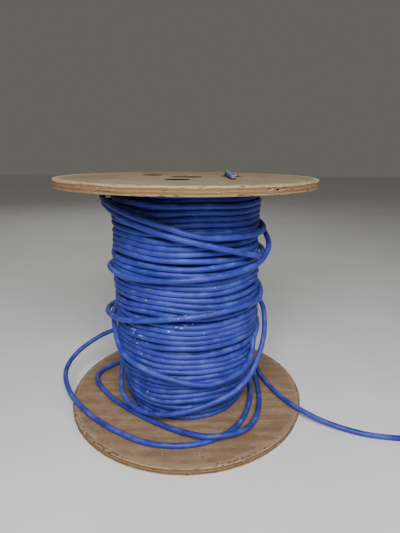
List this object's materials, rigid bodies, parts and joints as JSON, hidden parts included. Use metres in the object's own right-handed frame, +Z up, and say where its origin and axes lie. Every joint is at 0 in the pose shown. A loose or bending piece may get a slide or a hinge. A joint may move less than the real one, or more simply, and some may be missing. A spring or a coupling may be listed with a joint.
{
  "type": "cable reel",
  "caption": "Round plywood reel standing on its lower flange, part wound with blue data cable, with slack loops on the flange, a lead running off and the inner end through a start hole.",
  "frame": {"origin": "centre of the reel's base, on the surface that the lower flange stands on", "axes": "+Z up along the reel's axis; the side seen from the front is towards -Y, +X to its right"},
  "size_m": [0.5284, 0.3388, 0.2999],
  "materials": {
    "plywood": "raw, matte",
    "core_board": "raw kraft board",
    "zinc_steel": "bright zinc plating",
    "cable_jacket": "satin",
    "tie_webbing": "woven hook-and-loop",
    "blue_insulation": "gloss",
    "orange_insulation": "gloss",
    "green_insulation": "gloss",
    "brown_insulation": "gloss",
    "cable_filler": "natural polyethylene",
    "rip_thread": "twisted nylon thread"
  },
  "bodies": {
    "root": {"bottom_flange": "plywood", "top_flange": "plywood", "core_tube": "core_board", "tie_bolts": "zinc_steel", "tee_nuts": "zinc_steel", "cable_winding": "cable_jacket", "cable_inner_end": "cable_jacket", "inner_blue_pair": "blue_insulation", "inner_orange_pair": "orange_insulation", "inner_green_pair": "green_insulation", "inner_brown_pair": "brown_insulation", "inner_filler": "cable_filler", "inner_rip_cord": "rip_thread", "cable_free_run": "cable_jacket", "cable_coil": "cable_jacket", "coil_tie": "tie_webbing", "cable_outer_end": "cable_jacket", "outer_blue_pair": "blue_insulation", "outer_orange_pair": "orange_insulation", "outer_green_pair": "green_insulation", "outer_brown_pair": "brown_insulation", "outer_filler": "cable_filler", "outer_rip_cord": "rip_thread"}
  },
  "joints": []
}
